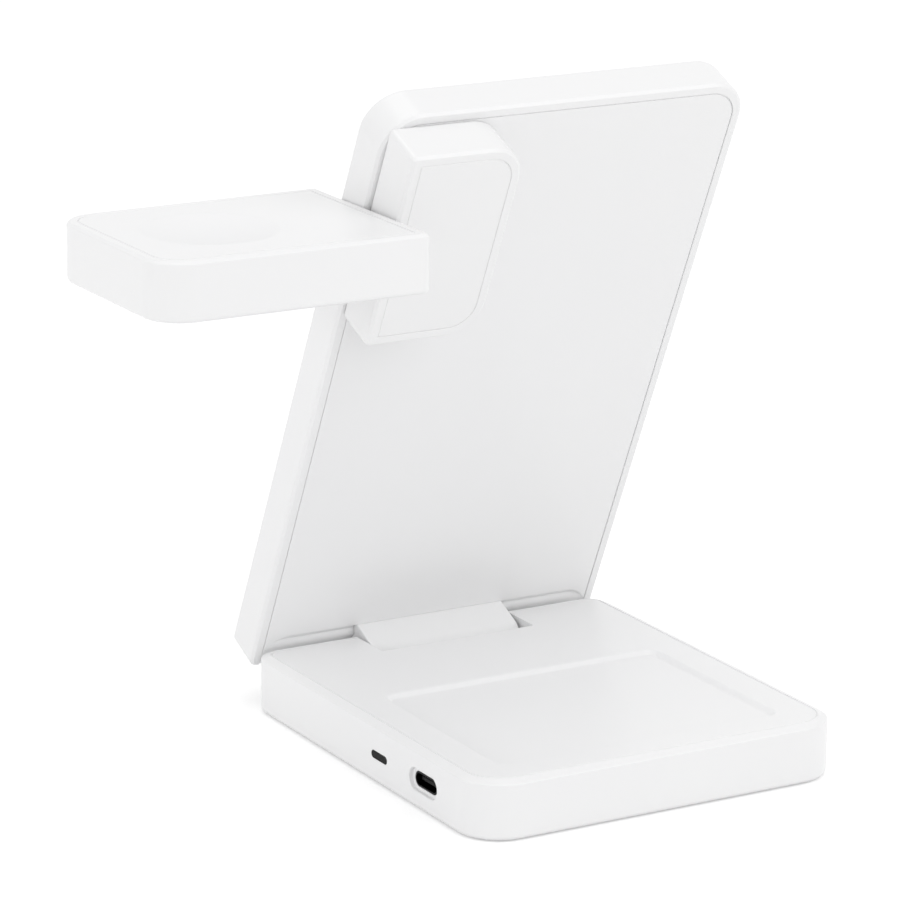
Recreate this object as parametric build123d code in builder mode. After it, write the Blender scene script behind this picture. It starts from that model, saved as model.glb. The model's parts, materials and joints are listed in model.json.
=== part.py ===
from build123d import *
import os
from math import acos, atan2, cos, hypot, radians, sin

# Three in one wireless charger: a base with an earbud tray, a panel that leans over the base and carries a
# phone on its far side, and a watch platform on a bracket near the panel's top. Millimetres, +Z up. The origin
# is the middle of the base's footprint on the table. The panel stands along the base's rear edge, at +Y, and
# the sockets and the watch platform are at -X.

os.makedirs("parts", exist_ok=True)

# Mouldings: every housing is an open shell with a flush cover let into its rim
rim = 2.2
ledge = 1.0
seam = 0.25
cover_thickness = 1.6
floor_thickness = 1.6
edge_chamfer = 0.6
far_edge_fillet = 1.0
smallest_corner = 0.4
glue_gap = 0.05
running_fit = 0.05
press_fit = 0.02

# Base
base_width = 88.0
base_depth = 98.0
base_height = 13.0
base_front_radius = 9.5
base_rear_radius = 5.0
base_bevel_width = 1.85
base_bevel_drop = 0.8
pad_height = 0.3
pad_sink = 0.5
pad_from_side = 6.0
pad_from_bay = 4.0
pad_corner = 3.0
tray_width = 67.8
tray_depth = 1.0
tray_corner = 3.0
tray_draft = 45.0
tray_from_rear = 39.2
tray_from_front = 9.0

# Socket and status lens in the base's left side
socket_from_front = 23.5
socket_height = 6.35
socket_opening_width = 8.34
socket_opening_height = 2.56
socket_sheet = 0.3
socket_length = 7.3
socket_gap = 0.12
bezel_width = 11.3
bezel_height = 4.7
bezel_depth = 0.9
tongue_width = 6.69
tongue_thickness = 0.7
tongue_short = 0.9
insulator_length = 1.5
lens_from_front = 41.7
lens_width = 6.5
lens_height = 1.65
lens_flange = 0.6
lens_flange_length = 0.6
light_length = 2.0
light_width = 3.0
light_height = 2.4

# Base electronics and screws
board_thickness = 1.2
board_edge_gap = 0.3
board_post_radius = 2.0
board_post_inset = 3.5
base_board_width = 24.0
base_board_length = 33.0
coil_thickness = 1.1
ferrite_thickness = 0.8
ferrite_margin = 1.0
earbud_coil_radius = 20.0
earbud_coil_hole = 9.0
screw_radius = 1.2
screw_head_radius = 2.3
screw_head_height = 1.5
screw_tip_gap = 1.0
screw_boss_wall = 1.8
screw_seat = 1.5
screw_from_side = 11.0

# Panel
lean = 24.3
panel_setback = 0.65
panel_width = 86.8
panel_low = 5.2
panel_high = 140.2
panel_thickness = 9.65
panel_top_radius = 8.8
panel_low_radius = 2.0
far_wall = 1.6
relief_from_side = 2.0
relief_top = 2.5
relief_corner = 6.0
relief_depth = 1.0
relief_slope = 45.0
ridge_rise = -0.4
ridge_depth = 0.3
ridge_radius = 1.6
rail_above_relief = 1.5
rail_thickness = 2.0
phone_coil_rise = 82.0
phone_coil_radius = 21.5
phone_coil_hole = 10.5
magnet_coil_gap = 1.5
magnet_width = 3.8
magnet_thickness = 2.2
magnet_count = 16
magnet_gap = 1.2
panel_board_width = 52.0
panel_board_length = 30.0
panel_board_rise = 30.0
panel_board_lift = 2.0

# Fold hinge between base and panel
hinge_axis_depth = 6.0
fold_gap = 0.4
hinge_table_gap = 0.8
hinge_width = 36.8
hinge_side_gap = 0.8
bay_front_gap = 3.3
bay_side_wall = 5.0
bay_front_wall = 2.0
hinge_cover_wall = 1.3
hinge_root_gap = 0.05
hinge_pin_radius = 1.5
leaf_sheet = 1.2
leaf_slot_gap = 0.2
leaf_plate_rise = 4.0
leaf_plate_width = 32.0
leaf_screw_spread = 24.0
leaf_screw_radius = 1.0
leaf_screw_head_radius = 2.0
leaf_screw_head_height = 1.2
leaf_screw_bite = 1.6
hinge_washer_radius = 3.2
washer_sheet = 0.3
washer_dishing = 0.3

# Bracket on the panel's face
bracket_side_inset = 1.0
bracket_top_inset = 2.2
bracket_width = 26.6
bracket_thickness = 10.9
bracket_radius = 8.0
bracket_left_radius = 1.0
bracket_floor = 1.6
bracket_front_clearance = 0.4
bracket_boss_radius = 2.5
bracket_boss_height = 4.0
bracket_screw_inset = 7.5
wire_hole_radius = 2.5

# Watch platform and its pivot
platform_side_gap = 0.3
platform_over_base = 0.6
platform_length = 59.3
platform_depth = 47.8
platform_thickness = 12.25
platform_radius = 8.0
platform_end_radius = 1.0
pivot_radius = 2.5
pivot_bore = 1.4
pivot_boss_radius = 5.0
pivot_boss_gap = 0.3
pivot_flange_radius = 4.0
pivot_flange_length = 1.5
bush_wall = 0.7
bush_flange = 0.45
bush_flange_length = 0.6
pivot_washer_radius = 3.4
clip_radius = 3.5
clip_thickness = 0.6
clip_groove = 0.5
clip_mouth = 2.4
shaft_end = 0.8
dish_radius = 13.9
dish_depth = 1.5
dish_from_end = 22.7
dish_wall = 1.4
watch_coil_radius = 12.5
watch_coil_hole = 5.5
watch_magnet_radius = 4.5
watch_magnet_thickness = 2.4
platform_board_size = 28.0
platform_board_lift = 1.0

# The fold axis lies as far from the panel's face as it lies below the base's top, so the panel folds flat
side_wall = rim + ledge
lean_sin = sin(radians(lean))
lean_cos = cos(radians(lean))
axis_ahead = (hinge_axis_depth * (1 - lean_sin) + fold_gap) / lean_cos
axis_rise = axis_ahead * lean_sin - hinge_axis_depth * lean_cos
axis_out = hinge_axis_depth + fold_gap
corner_y = base_depth / 2 + panel_setback
axis_y = corner_y - axis_ahead
axis_z = base_height - hinge_axis_depth
fold_axis = (axis_y, axis_z)
hinge_radius = axis_z - hinge_table_gap
bay_width = hinge_width + 2 * hinge_side_gap
bay_depth = axis_ahead - panel_setback + hinge_radius + bay_front_gap
pin_length = bay_width + 2 * bay_side_wall

# Panel face: X across, Y up the panel from its corner with the base's top, Z out of the visible face
PANEL = Plane(origin=(0, corner_y, base_height), x_dir=(1, 0, 0), z_dir=(0, -lean_cos, -lean_sin))
panel_length = panel_low + panel_high
relief_width = panel_width - 2 * relief_from_side
panel_middle = (panel_high - panel_low) / 2

# Folded flat, the bracket's low side comes down just in front of the base
bracket_low = base_depth + panel_setback + bracket_front_clearance - axis_ahead + axis_rise
bracket_high = panel_high - bracket_top_inset
bracket_height = bracket_high - bracket_low
bracket_left = -panel_width / 2 + bracket_side_inset
bracket_across = bracket_left + bracket_width / 2
bracket_rise = (bracket_low + bracket_high) / 2

# The watch platform turns about a cross axis through the middle of the bracket's left side. Its end clears the
# panel's side, and it may lie a little inside the base's side, whose front corners are round
pivot = PANEL.from_local_coords((0, bracket_rise, bracket_thickness / 2))
pivot_axis = (pivot.Y, pivot.Z)
platform_end = -max(base_width / 2 - platform_over_base, panel_width / 2) - platform_side_gap
platform_across = platform_end - platform_length / 2
platform_top = pivot.Z + platform_thickness / 2
PLATFORM = Plane(origin=(platform_across, pivot.Y, platform_top))
BASE = Plane.XY.offset(base_height)
SIDE = Plane.YZ.offset(-base_width / 2)


def on_panel(rise, out=0.0, across=0.0):
    """Plane parallel to the panel's face, its origin at a place on the panel."""
    origin = PANEL.from_local_coords((across, rise, out))
    return Plane(origin=origin, x_dir=PANEL.x_dir, z_dir=PANEL.z_dir)


def section_point(rise, out):
    """The (Y, Z) of a place on the panel, for sections drawn across the hinge."""
    point = PANEL.from_local_coords((0, rise, out))
    return (point.Y, point.Z)


def outline(width, length, low_radius, high_radius, axis, inset):
    """Rectangle drawn in by inset, with one corner radius at each end of the axis."""
    with BuildSketch() as plan:
        Rectangle(width - 2 * inset, length - 2 * inset)
        fillet(plan.vertices().group_by(axis)[0], max(low_radius - inset, smallest_corner))
        fillet(plan.vertices().group_by(axis)[-1], max(high_radius - inset, smallest_corner))
    return plan.sketch


def base_plan(inset=0.0):
    return outline(base_width, base_depth, base_front_radius, base_rear_radius, Axis.Y, inset)


def panel_plan(inset=0.0):
    return outline(panel_width, panel_length, panel_low_radius, panel_top_radius, Axis.Y, inset)


def bracket_plan(inset=0.0):
    return outline(bracket_width, bracket_height, bracket_left_radius, bracket_radius, Axis.X, inset)


def platform_plan(inset=0.0):
    return outline(platform_length, platform_depth, platform_radius, platform_end_radius, Axis.X, inset)


def relief_cut():
    """Cut-back along the panel's lower edge that clears the base's rear edge, with sloping sides, round upper
    corners and a rounded ridge left along its floor, and the slot in it for the hinge cover's root."""
    with BuildPart() as cut:
        with BuildSketch(PANEL) as plan:
            with Locations((0, relief_top)):
                Rectangle(relief_width, 2 * (panel_low + relief_top), align=(Align.CENTER, Align.MAX))
            fillet(plan.vertices().group_by(Axis((0, 0, 0), PANEL.y_dir))[-1], relief_corner)
        extrude(amount=-relief_depth, taper=relief_slope)
        with BuildSketch(Plane.YZ.offset(-relief_width / 2)):
            with Locations(section_point(ridge_rise, -ridge_depth - ridge_radius)):
                Circle(ridge_radius)
        extrude(amount=relief_width, mode=Mode.SUBTRACT)
        with BuildSketch(PANEL):
            with Locations((0, relief_top)):
                Rectangle(
                    hinge_width + 2 * hinge_root_gap,
                    2 * (panel_low + relief_top),
                    align=(Align.CENTER, Align.MAX),
                )
        extrude(amount=-cover_thickness)
    return cut.part


def pad_plan(grow=0.0):
    """Outline of the silicone pad under the base, which goes round the hinge's bay."""
    with BuildSketch() as plan:
        Rectangle(base_width - 2 * (pad_from_side - grow), base_depth - 2 * (pad_from_side - grow))
        with Locations((0, base_depth / 2 - bay_depth - pad_from_bay + grow)):
            Rectangle(
                bay_width + 2 * (pad_from_bay - grow),
                bay_depth + pad_from_bay,
                align=(Align.CENTER, Align.MIN),
                mode=Mode.SUBTRACT,
            )
        fillet(plan.vertices(), pad_corner)
    return plan.sketch


def edges_on(part, plane):
    """The part's edges that lie in a plane."""
    return part.edges().filter_by(lambda edge: abs(plane.to_local_coords(edge.center()).Z) < 1e-4)


def housing(face, plan, height, floor, bevel_drop=edge_chamfer, bevel_width=edge_chamfer):
    """Open shell behind its face plane: bevelled rim, pocket for the cover, hollow down to the floor."""
    with BuildPart() as tub:
        with BuildSketch(face):
            add(plan())
        extrude(amount=-height)
        top = tub.faces().sort_by(Axis(face.origin, face.z_dir))[-1]
        chamfer(edges_on(tub, face), bevel_width, bevel_drop, reference=top)
        fillet(edges_on(tub, face.offset(-height)), far_edge_fillet)
        with BuildSketch(face):
            add(plan(rim))
        extrude(amount=-cover_thickness, mode=Mode.SUBTRACT)
        with BuildSketch(face):
            add(plan(side_wall))
        extrude(amount=-(height - floor), mode=Mode.SUBTRACT)
    return tub.part


def touch_point(point, radius, side):
    """Where a line from point touches a circle about the fold axis, on side 1 or -1 of the line to the axis."""
    along = atan2(point[1] - axis_z, point[0] - axis_y)
    turn = acos(radius / hypot(point[0] - axis_y, point[1] - axis_z))
    return (axis_y + radius * cos(along + side * turn), axis_z + radius * sin(along + side * turn))


def spring_washer(axis, start, direction, outer, inner):
    """Dished washer about a cross axis, from its hole's edge at start along X towards direction."""
    rim_start = start + direction * washer_dishing
    with BuildPart() as washer:
        with BuildSketch(Plane(origin=(0, axis[0], axis[1]))):
            with BuildLine():
                Polyline(
                    (start, inner),
                    (start + direction * washer_sheet, inner),
                    (rim_start + direction * washer_sheet, outer),
                    (rim_start, outer),
                    close=True,
                )
            make_face()
        revolve(axis=Axis((0, axis[0], axis[1]), (1, 0, 0)))
    return washer.part


# Places in the base
base_floor = pad_height + floor_thickness
screw_x = base_width / 2 - screw_from_side
screw_y = base_depth / 2 - screw_from_side
screw_places = [(x, y) for x in (-screw_x, screw_x) for y in (-screw_y, screw_y)]
screw_head_base = pad_height + pad_sink
screw_head_top = screw_head_base + screw_head_height
screw_boss_top = screw_head_top + screw_seat
screw_hole_top = base_height - cover_thickness - screw_tip_gap
tray_length = base_depth - tray_from_rear - tray_from_front
tray_y = (tray_from_front - tray_from_rear) / 2
tray_under = base_height - tray_depth - cover_thickness
socket_place = (socket_from_front - base_depth / 2, socket_height)
lens_place = (lens_from_front - base_depth / 2, socket_height)
socket_outer_width = socket_opening_width + 2 * socket_sheet
socket_outer_height = socket_opening_height + 2 * socket_sheet
board_top = socket_height - socket_outer_height / 2
inner_side = -base_width / 2 + side_wall
board_x = inner_side + board_edge_gap + base_board_width / 2
board_y = (socket_place[0] + lens_place[0]) / 2
MOUTH = SIDE.offset(bezel_depth)
INNER_SIDE = SIDE.offset(side_wall)

# Base shell: tub with a bay for the hinge cut through its rear
base_tub = housing(
    BASE, base_plan, base_height - pad_height, floor_thickness, base_bevel_drop, base_bevel_width
)
with BuildPart() as base_shell:
    add(base_tub)
    with BuildSketch(Plane.XY.offset(pad_height)):
        with Locations((0, base_depth / 2 - rim)):
            Rectangle(pin_length, bay_depth + bay_front_wall - rim, align=(Align.CENTER, Align.MAX))
    extrude(amount=base_height - cover_thickness - pad_height)
    with BuildSketch(Plane.XY):
        with Locations((0, base_depth / 2 - bay_depth)):
            Rectangle(bay_width, 2 * bay_depth, align=(Align.CENTER, Align.MIN))
    extrude(amount=2 * base_height, mode=Mode.SUBTRACT)
    with BuildSketch(Plane.YZ.offset(-pin_length / 2)):
        with Locations(fold_axis):
            Circle(hinge_pin_radius + press_fit)
    extrude(amount=pin_length, mode=Mode.SUBTRACT)
    with BuildSketch(SIDE):
        with Locations(socket_place):
            SlotOverall(bezel_width, bezel_height)
    extrude(amount=bezel_depth, mode=Mode.SUBTRACT)
    with BuildSketch(SIDE):
        with Locations(socket_place):
            SlotOverall(socket_outer_width + 2 * socket_gap, socket_outer_height + 2 * socket_gap)
        with Locations(lens_place):
            SlotOverall(lens_width + 2 * glue_gap, lens_height + 2 * glue_gap)
    extrude(amount=side_wall, mode=Mode.SUBTRACT)
    with BuildSketch(Plane.XY.offset(base_floor)):
        with Locations((board_x, board_y)):
            with GridLocations(
                base_board_width - 2 * board_post_inset, base_board_length - 2 * board_post_inset, 2, 2
            ):
                Circle(board_post_radius)
    extrude(amount=board_top - board_thickness - base_floor)
    with BuildSketch(Plane.XY.offset(base_floor)):
        with Locations(*screw_places):
            Circle(screw_head_radius + screw_boss_wall)
    extrude(amount=screw_boss_top - base_floor)
    with BuildSketch(Plane.XY):
        add(pad_plan(glue_gap))
    extrude(amount=screw_head_base, mode=Mode.SUBTRACT)
    with BuildSketch(Plane.XY):
        with Locations(*screw_places):
            Circle(screw_head_radius + running_fit)
    extrude(amount=screw_head_top, mode=Mode.SUBTRACT)
    with BuildSketch(Plane.XY):
        with Locations(*screw_places):
            Circle(screw_radius + running_fit)
    extrude(amount=screw_boss_top, mode=Mode.SUBTRACT)
base_shell.part.label = "base_shell"
export_step(base_shell.part, "parts/base_shell.step")

# Base cover: flush plate with the earbud tray pressed into it and a screw post over each boss
with BuildPart() as base_cover:
    with BuildSketch(BASE):
        add(base_plan(rim + seam))
    extrude(amount=-cover_thickness)
    with BuildSketch(BASE):
        with Locations((0, tray_y)):
            RectangleRounded(
                tray_width + 2 * cover_thickness,
                tray_length + 2 * cover_thickness,
                tray_corner + cover_thickness,
            )
    extrude(amount=-(tray_depth + cover_thickness))
    with BuildSketch(BASE):
        with Locations((0, tray_y)):
            RectangleRounded(tray_width, tray_length, tray_corner)
    extrude(amount=-tray_depth, taper=tray_draft, mode=Mode.SUBTRACT)
    with BuildSketch(BASE):
        with Locations((0, base_depth / 2 - bay_depth)):
            Rectangle(bay_width, 2 * bay_depth, align=(Align.CENTER, Align.MIN))
    extrude(amount=-cover_thickness, mode=Mode.SUBTRACT)
    with BuildSketch(Plane.XY.offset(screw_boss_top)):
        with Locations(*screw_places):
            Circle(screw_radius + screw_boss_wall)
    extrude(amount=base_height - cover_thickness - screw_boss_top)
    with BuildSketch(Plane.XY.offset(screw_boss_top)):
        with Locations(*screw_places):
            Circle(screw_radius + press_fit)
    extrude(amount=screw_hole_top - screw_boss_top, mode=Mode.SUBTRACT)
base_cover.part.label = "base_cover"
export_step(base_cover.part, "parts/base_cover.step")

with BuildPart() as base_screws:
    with BuildSketch(Plane.XY.offset(screw_head_base)):
        with Locations(*screw_places):
            Circle(screw_head_radius)
    extrude(amount=screw_head_height)
    with BuildSketch(Plane.XY.offset(screw_head_top)):
        with Locations(*screw_places):
            Circle(screw_radius)
    extrude(amount=screw_hole_top - screw_tip_gap - screw_head_top)
base_screws.part.label = "base_screws"
export_step(base_screws.part, "parts/base_screws.step")

with BuildPart() as base_pad:
    with BuildSketch(Plane.XY):
        add(pad_plan())
    extrude(amount=pad_height + pad_sink)
    fillet(edges_on(base_pad, Plane.XY), pad_height / 2)
base_pad.part.label = "base_pad"
export_step(base_pad.part, "parts/base_pad.step")

# Charging socket with its tongue, then the status lens and the light behind it
with BuildPart() as usb_socket:
    with BuildSketch(MOUTH):
        with Locations(socket_place):
            SlotOverall(socket_outer_width, socket_outer_height)
    extrude(amount=socket_length)
    with BuildSketch(MOUTH):
        with Locations(socket_place):
            SlotOverall(socket_opening_width, socket_opening_height)
    extrude(amount=socket_length - socket_sheet, mode=Mode.SUBTRACT)
usb_socket.part.label = "usb_socket"
export_step(usb_socket.part, "parts/usb_socket.step")

with BuildPart() as usb_tongue:
    with BuildSketch(MOUTH.offset(socket_length - socket_sheet)):
        with Locations(socket_place):
            SlotOverall(socket_opening_width - 2 * glue_gap, socket_opening_height - 2 * glue_gap)
    extrude(amount=-insulator_length)
    with BuildSketch(MOUTH.offset(tongue_short)):
        with Locations(socket_place):
            Rectangle(tongue_width, tongue_thickness)
    extrude(amount=socket_length - socket_sheet - insulator_length - tongue_short)
usb_tongue.part.label = "usb_tongue"
export_step(usb_tongue.part, "parts/usb_tongue.step")

with BuildPart() as status_lens:
    with BuildSketch(SIDE):
        with Locations(lens_place):
            SlotOverall(lens_width, lens_height)
    extrude(amount=side_wall)
    with BuildSketch(INNER_SIDE):
        with Locations(lens_place):
            SlotOverall(lens_width + 2 * lens_flange, lens_height + 2 * lens_flange)
    extrude(amount=lens_flange_length)
status_lens.part.label = "status_lens"
export_step(status_lens.part, "parts/status_lens.step")

with BuildPart() as status_light:
    with BuildSketch(Plane.XY.offset(board_top)):
        with Locations((inner_side + lens_flange_length + glue_gap, lens_place[0])):
            Rectangle(light_length, light_width, align=(Align.MIN, Align.CENTER))
    extrude(amount=light_height)
status_light.part.label = "status_light"
export_step(status_light.part, "parts/status_light.step")

with BuildPart() as base_circuit_board:
    with BuildSketch(Plane.XY.offset(board_top)):
        with Locations((board_x, board_y)):
            Rectangle(base_board_width, base_board_length)
    extrude(amount=-board_thickness)
base_circuit_board.part.label = "base_circuit_board"
export_step(base_circuit_board.part, "parts/base_circuit_board.step")

# Earbud coil and its ferrite sheet, stuck up under the tray
with BuildPart() as earbud_coil:
    with BuildSketch(Plane(origin=(0, tray_y, tray_under))):
        Circle(earbud_coil_radius)
        Circle(earbud_coil_hole, mode=Mode.SUBTRACT)
    extrude(amount=-coil_thickness)
earbud_coil.part.label = "earbud_coil"
export_step(earbud_coil.part, "parts/earbud_coil.step")

with BuildPart() as earbud_ferrite:
    with BuildSketch(Plane(origin=(0, tray_y, tray_under - coil_thickness))):
        Rectangle(
            2 * (earbud_coil_radius + ferrite_margin),
            2 * (earbud_coil_radius + ferrite_margin),
        )
    extrude(amount=-ferrite_thickness)
earbud_ferrite.part.label = "earbud_ferrite"
export_step(earbud_ferrite.part, "parts/earbud_ferrite.step")

# Fold hinge: steel pin across the bay, spring washers at its ends, steel leaf curled round it
leaf_outer = hinge_pin_radius + running_fit + leaf_sheet
leaf_half_length = hinge_width / 2 - hinge_cover_wall - leaf_slot_gap
tongue_low = axis_rise + leaf_outer - leaf_sheet
tongue_high = axis_rise + leaf_outer
rail_face = -cover_thickness
rail_back = rail_face - rail_thickness
rail_top = relief_top + rail_above_relief
leaf_back = rail_back - leaf_sheet
leaf_screw_rise = (leaf_plate_rise + tongue_high) / 2

with BuildPart() as hinge_pin:
    with BuildSketch(Plane.YZ.offset(-pin_length / 2)):
        with Locations(fold_axis):
            Circle(hinge_pin_radius)
    extrude(amount=pin_length)
hinge_pin.part.label = "hinge_pin"
export_step(hinge_pin.part, "parts/hinge_pin.step")

washer_hole = hinge_pin_radius + running_fit
washer_left = spring_washer(fold_axis, -bay_width / 2, 1, hinge_washer_radius, washer_hole)
washer_right = spring_washer(fold_axis, bay_width / 2, -1, hinge_washer_radius, washer_hole)
with BuildPart() as hinge_spring_washers:
    add(washer_left)
    add(washer_right)
hinge_spring_washers.part.label = "hinge_spring_washers"
export_step(hinge_spring_washers.part, "parts/hinge_spring_washers.step")

with BuildPart() as hinge_leaf:
    with BuildSketch(Plane.YZ.offset(-leaf_half_length)):
        with Locations(fold_axis):
            Circle(leaf_outer)
    extrude(amount=2 * leaf_half_length)
    with BuildSketch(Plane.YZ.offset(-leaf_plate_width / 2)):
        with BuildLine():
            Polyline(
                section_point(tongue_high, axis_out),
                section_point(tongue_high, rail_back),
                section_point(leaf_plate_rise, rail_back),
                section_point(leaf_plate_rise, leaf_back),
                section_point(tongue_low, leaf_back),
                section_point(tongue_low, axis_out),
                close=True,
            )
        make_face()
    extrude(amount=leaf_plate_width)
    with BuildSketch(Plane.YZ.offset(-leaf_half_length)):
        with Locations(fold_axis):
            Circle(hinge_pin_radius + running_fit)
    extrude(amount=2 * leaf_half_length, mode=Mode.SUBTRACT)
    with BuildSketch(on_panel(leaf_screw_rise, rail_back)):
        with GridLocations(leaf_screw_spread, 1, 2, 1):
            Circle(leaf_screw_radius + running_fit)
    extrude(amount=-leaf_sheet, mode=Mode.SUBTRACT)
hinge_leaf.part.label = "hinge_leaf"
export_step(hinge_leaf.part, "parts/hinge_leaf.step")

with BuildPart() as hinge_screws:
    with BuildSketch(on_panel(leaf_screw_rise, leaf_back)):
        with GridLocations(leaf_screw_spread, 1, 2, 1):
            Circle(leaf_screw_head_radius)
    extrude(amount=-leaf_screw_head_height)
    with BuildSketch(on_panel(leaf_screw_rise, leaf_back)):
        with GridLocations(leaf_screw_spread, 1, 2, 1):
            Circle(leaf_screw_radius)
    extrude(amount=leaf_sheet + leaf_screw_bite)
hinge_screws.part.label = "hinge_screws"
export_step(hinge_screws.part, "parts/hinge_screws.step")

# Hinge cover: from the panel's rail up to its face, then a wedge that runs tangent into a barrel about the pin.
# It is hollow, and its ends are closed by walls that turn on the pin, with bosses towards the spring washers
root_top = section_point(relief_top - hinge_root_gap, rail_face)
root_edge = section_point(relief_top - hinge_root_gap, 0)
root_low = section_point(-panel_low, rail_face)
hollow_top = section_point(relief_top - hinge_root_gap - hinge_cover_wall, rail_face)
hollow_low = section_point(hinge_cover_wall - panel_low, rail_face)
hollow_radius = hinge_radius - hinge_cover_wall
hollow_half_length = hinge_width / 2 - hinge_cover_wall
boss_half_length = bay_width / 2 - washer_sheet - washer_dishing
with BuildPart() as hinge_cover:
    with BuildSketch(Plane.YZ.offset(-hinge_width / 2)):
        with Locations(fold_axis):
            Circle(hinge_radius)
        with BuildLine():
            Polyline(
                root_top,
                root_edge,
                touch_point(root_edge, hinge_radius, 1),
                fold_axis,
                touch_point(root_low, hinge_radius, -1),
                root_low,
                close=True,
            )
        make_face()
    extrude(amount=hinge_width)
    with BuildSketch(Plane.YZ.offset(-boss_half_length)):
        with Locations(fold_axis):
            Circle(leaf_outer)
    extrude(amount=2 * boss_half_length)
    with BuildSketch(Plane.YZ.offset(-hollow_half_length)):
        with Locations(fold_axis):
            Circle(hollow_radius)
        with BuildLine():
            Polyline(
                hollow_top,
                touch_point(hollow_top, hollow_radius, 1),
                fold_axis,
                touch_point(hollow_low, hollow_radius, -1),
                hollow_low,
                close=True,
            )
        make_face()
    extrude(amount=2 * hollow_half_length, mode=Mode.SUBTRACT)
    with BuildSketch(Plane.YZ.offset(-boss_half_length)):
        with Locations(fold_axis):
            Circle(hinge_pin_radius + running_fit)
    extrude(amount=2 * boss_half_length, mode=Mode.SUBTRACT)
hinge_cover.part.label = "hinge_cover"
export_step(hinge_cover.part, "parts/hinge_cover.step")

# Panel shell: its far wall is the phone's charging face, and a rail along its low end carries the hinge
far_inside = far_wall - panel_thickness
panel_relief = relief_cut()
panel_tub = housing(on_panel(panel_middle), panel_plan, panel_thickness, far_wall)
with BuildPart() as panel_shell:
    add(panel_tub)
    with BuildSketch(on_panel(rail_top, rail_face)):
        Rectangle(panel_width - 2 * rim, rail_top + panel_low - rim, align=(Align.CENTER, Align.MAX))
    extrude(amount=-rail_thickness)
    add(panel_relief, mode=Mode.SUBTRACT)
    with BuildSketch(on_panel(tongue_low - leaf_slot_gap, rail_face)):
        Rectangle(
            leaf_plate_width + 2 * leaf_slot_gap,
            leaf_sheet + 2 * leaf_slot_gap,
            align=(Align.CENTER, Align.MIN),
        )
    extrude(amount=-rail_thickness, mode=Mode.SUBTRACT)
    with BuildSketch(on_panel(tongue_low - leaf_slot_gap, rail_back)):
        Rectangle(
            leaf_plate_width + 2 * leaf_slot_gap,
            rail_top - tongue_low + leaf_slot_gap,
            align=(Align.CENTER, Align.MIN),
        )
    extrude(amount=-(leaf_sheet + leaf_screw_head_height + leaf_slot_gap), mode=Mode.SUBTRACT)
    with BuildSketch(on_panel(leaf_screw_rise, rail_back)):
        with GridLocations(leaf_screw_spread, 1, 2, 1):
            Circle(leaf_screw_radius + press_fit)
    extrude(amount=leaf_screw_bite, mode=Mode.SUBTRACT)
    with BuildSketch(on_panel(panel_board_rise, far_inside)):
        with GridLocations(
            panel_board_width - 2 * board_post_inset, panel_board_length - 2 * board_post_inset, 2, 2
        ):
            Circle(board_post_radius)
    extrude(amount=panel_board_lift)
panel_shell.part.label = "panel_shell"
export_step(panel_shell.part, "parts/panel_shell.step")

# Panel cover: flush plate cut back for the hinge, with holes for the bracket's screws and wire
bracket_screw_rows = bracket_height - 2 * bracket_screw_inset
bracket_screw_columns = bracket_width - 2 * bracket_screw_inset
with BuildPart() as panel_cover:
    with BuildSketch(on_panel(panel_middle)):
        add(panel_plan(rim + seam))
    extrude(amount=-cover_thickness)
    add(panel_relief, mode=Mode.SUBTRACT)
    with BuildSketch(on_panel(bracket_rise, 0, bracket_across)):
        with GridLocations(bracket_screw_columns, bracket_screw_rows, 2, 2):
            Circle(screw_radius + running_fit)
        Circle(wire_hole_radius)
    extrude(amount=-cover_thickness, mode=Mode.SUBTRACT)
panel_cover.part.label = "panel_cover"
export_step(panel_cover.part, "parts/panel_cover.step")

# Phone coil, ferrite and magnet ring on the inside of the charging face, and the board below them
with BuildPart() as phone_coil:
    with BuildSketch(on_panel(phone_coil_rise, far_inside)):
        Circle(phone_coil_radius)
        Circle(phone_coil_hole, mode=Mode.SUBTRACT)
    extrude(amount=coil_thickness)
phone_coil.part.label = "phone_coil"
export_step(phone_coil.part, "parts/phone_coil.step")

with BuildPart() as phone_ferrite:
    with BuildSketch(on_panel(phone_coil_rise, far_inside + coil_thickness)):
        Circle(phone_coil_radius + ferrite_margin)
    extrude(amount=ferrite_thickness)
phone_ferrite.part.label = "phone_ferrite"
export_step(phone_ferrite.part, "parts/phone_ferrite.step")

magnet_inner_radius = phone_coil_radius + magnet_coil_gap
magnet_outer_radius = magnet_inner_radius + magnet_width
with BuildPart() as phone_magnets:
    with BuildSketch(on_panel(phone_coil_rise, far_inside)):
        Circle(magnet_outer_radius)
        Circle(magnet_inner_radius, mode=Mode.SUBTRACT)
        with PolarLocations((magnet_inner_radius + magnet_outer_radius) / 2, magnet_count):
            Rectangle(2 * magnet_width, magnet_gap, mode=Mode.SUBTRACT)
    extrude(amount=magnet_thickness)
phone_magnets.part.label = "phone_magnets"
export_step(phone_magnets.part, "parts/phone_magnets.step")

with BuildPart() as panel_circuit_board:
    with BuildSketch(on_panel(panel_board_rise, far_inside + panel_board_lift)):
        Rectangle(panel_board_width, panel_board_length)
    extrude(amount=board_thickness)
panel_circuit_board.part.label = "panel_circuit_board"
export_step(panel_circuit_board.part, "parts/panel_circuit_board.step")

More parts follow.
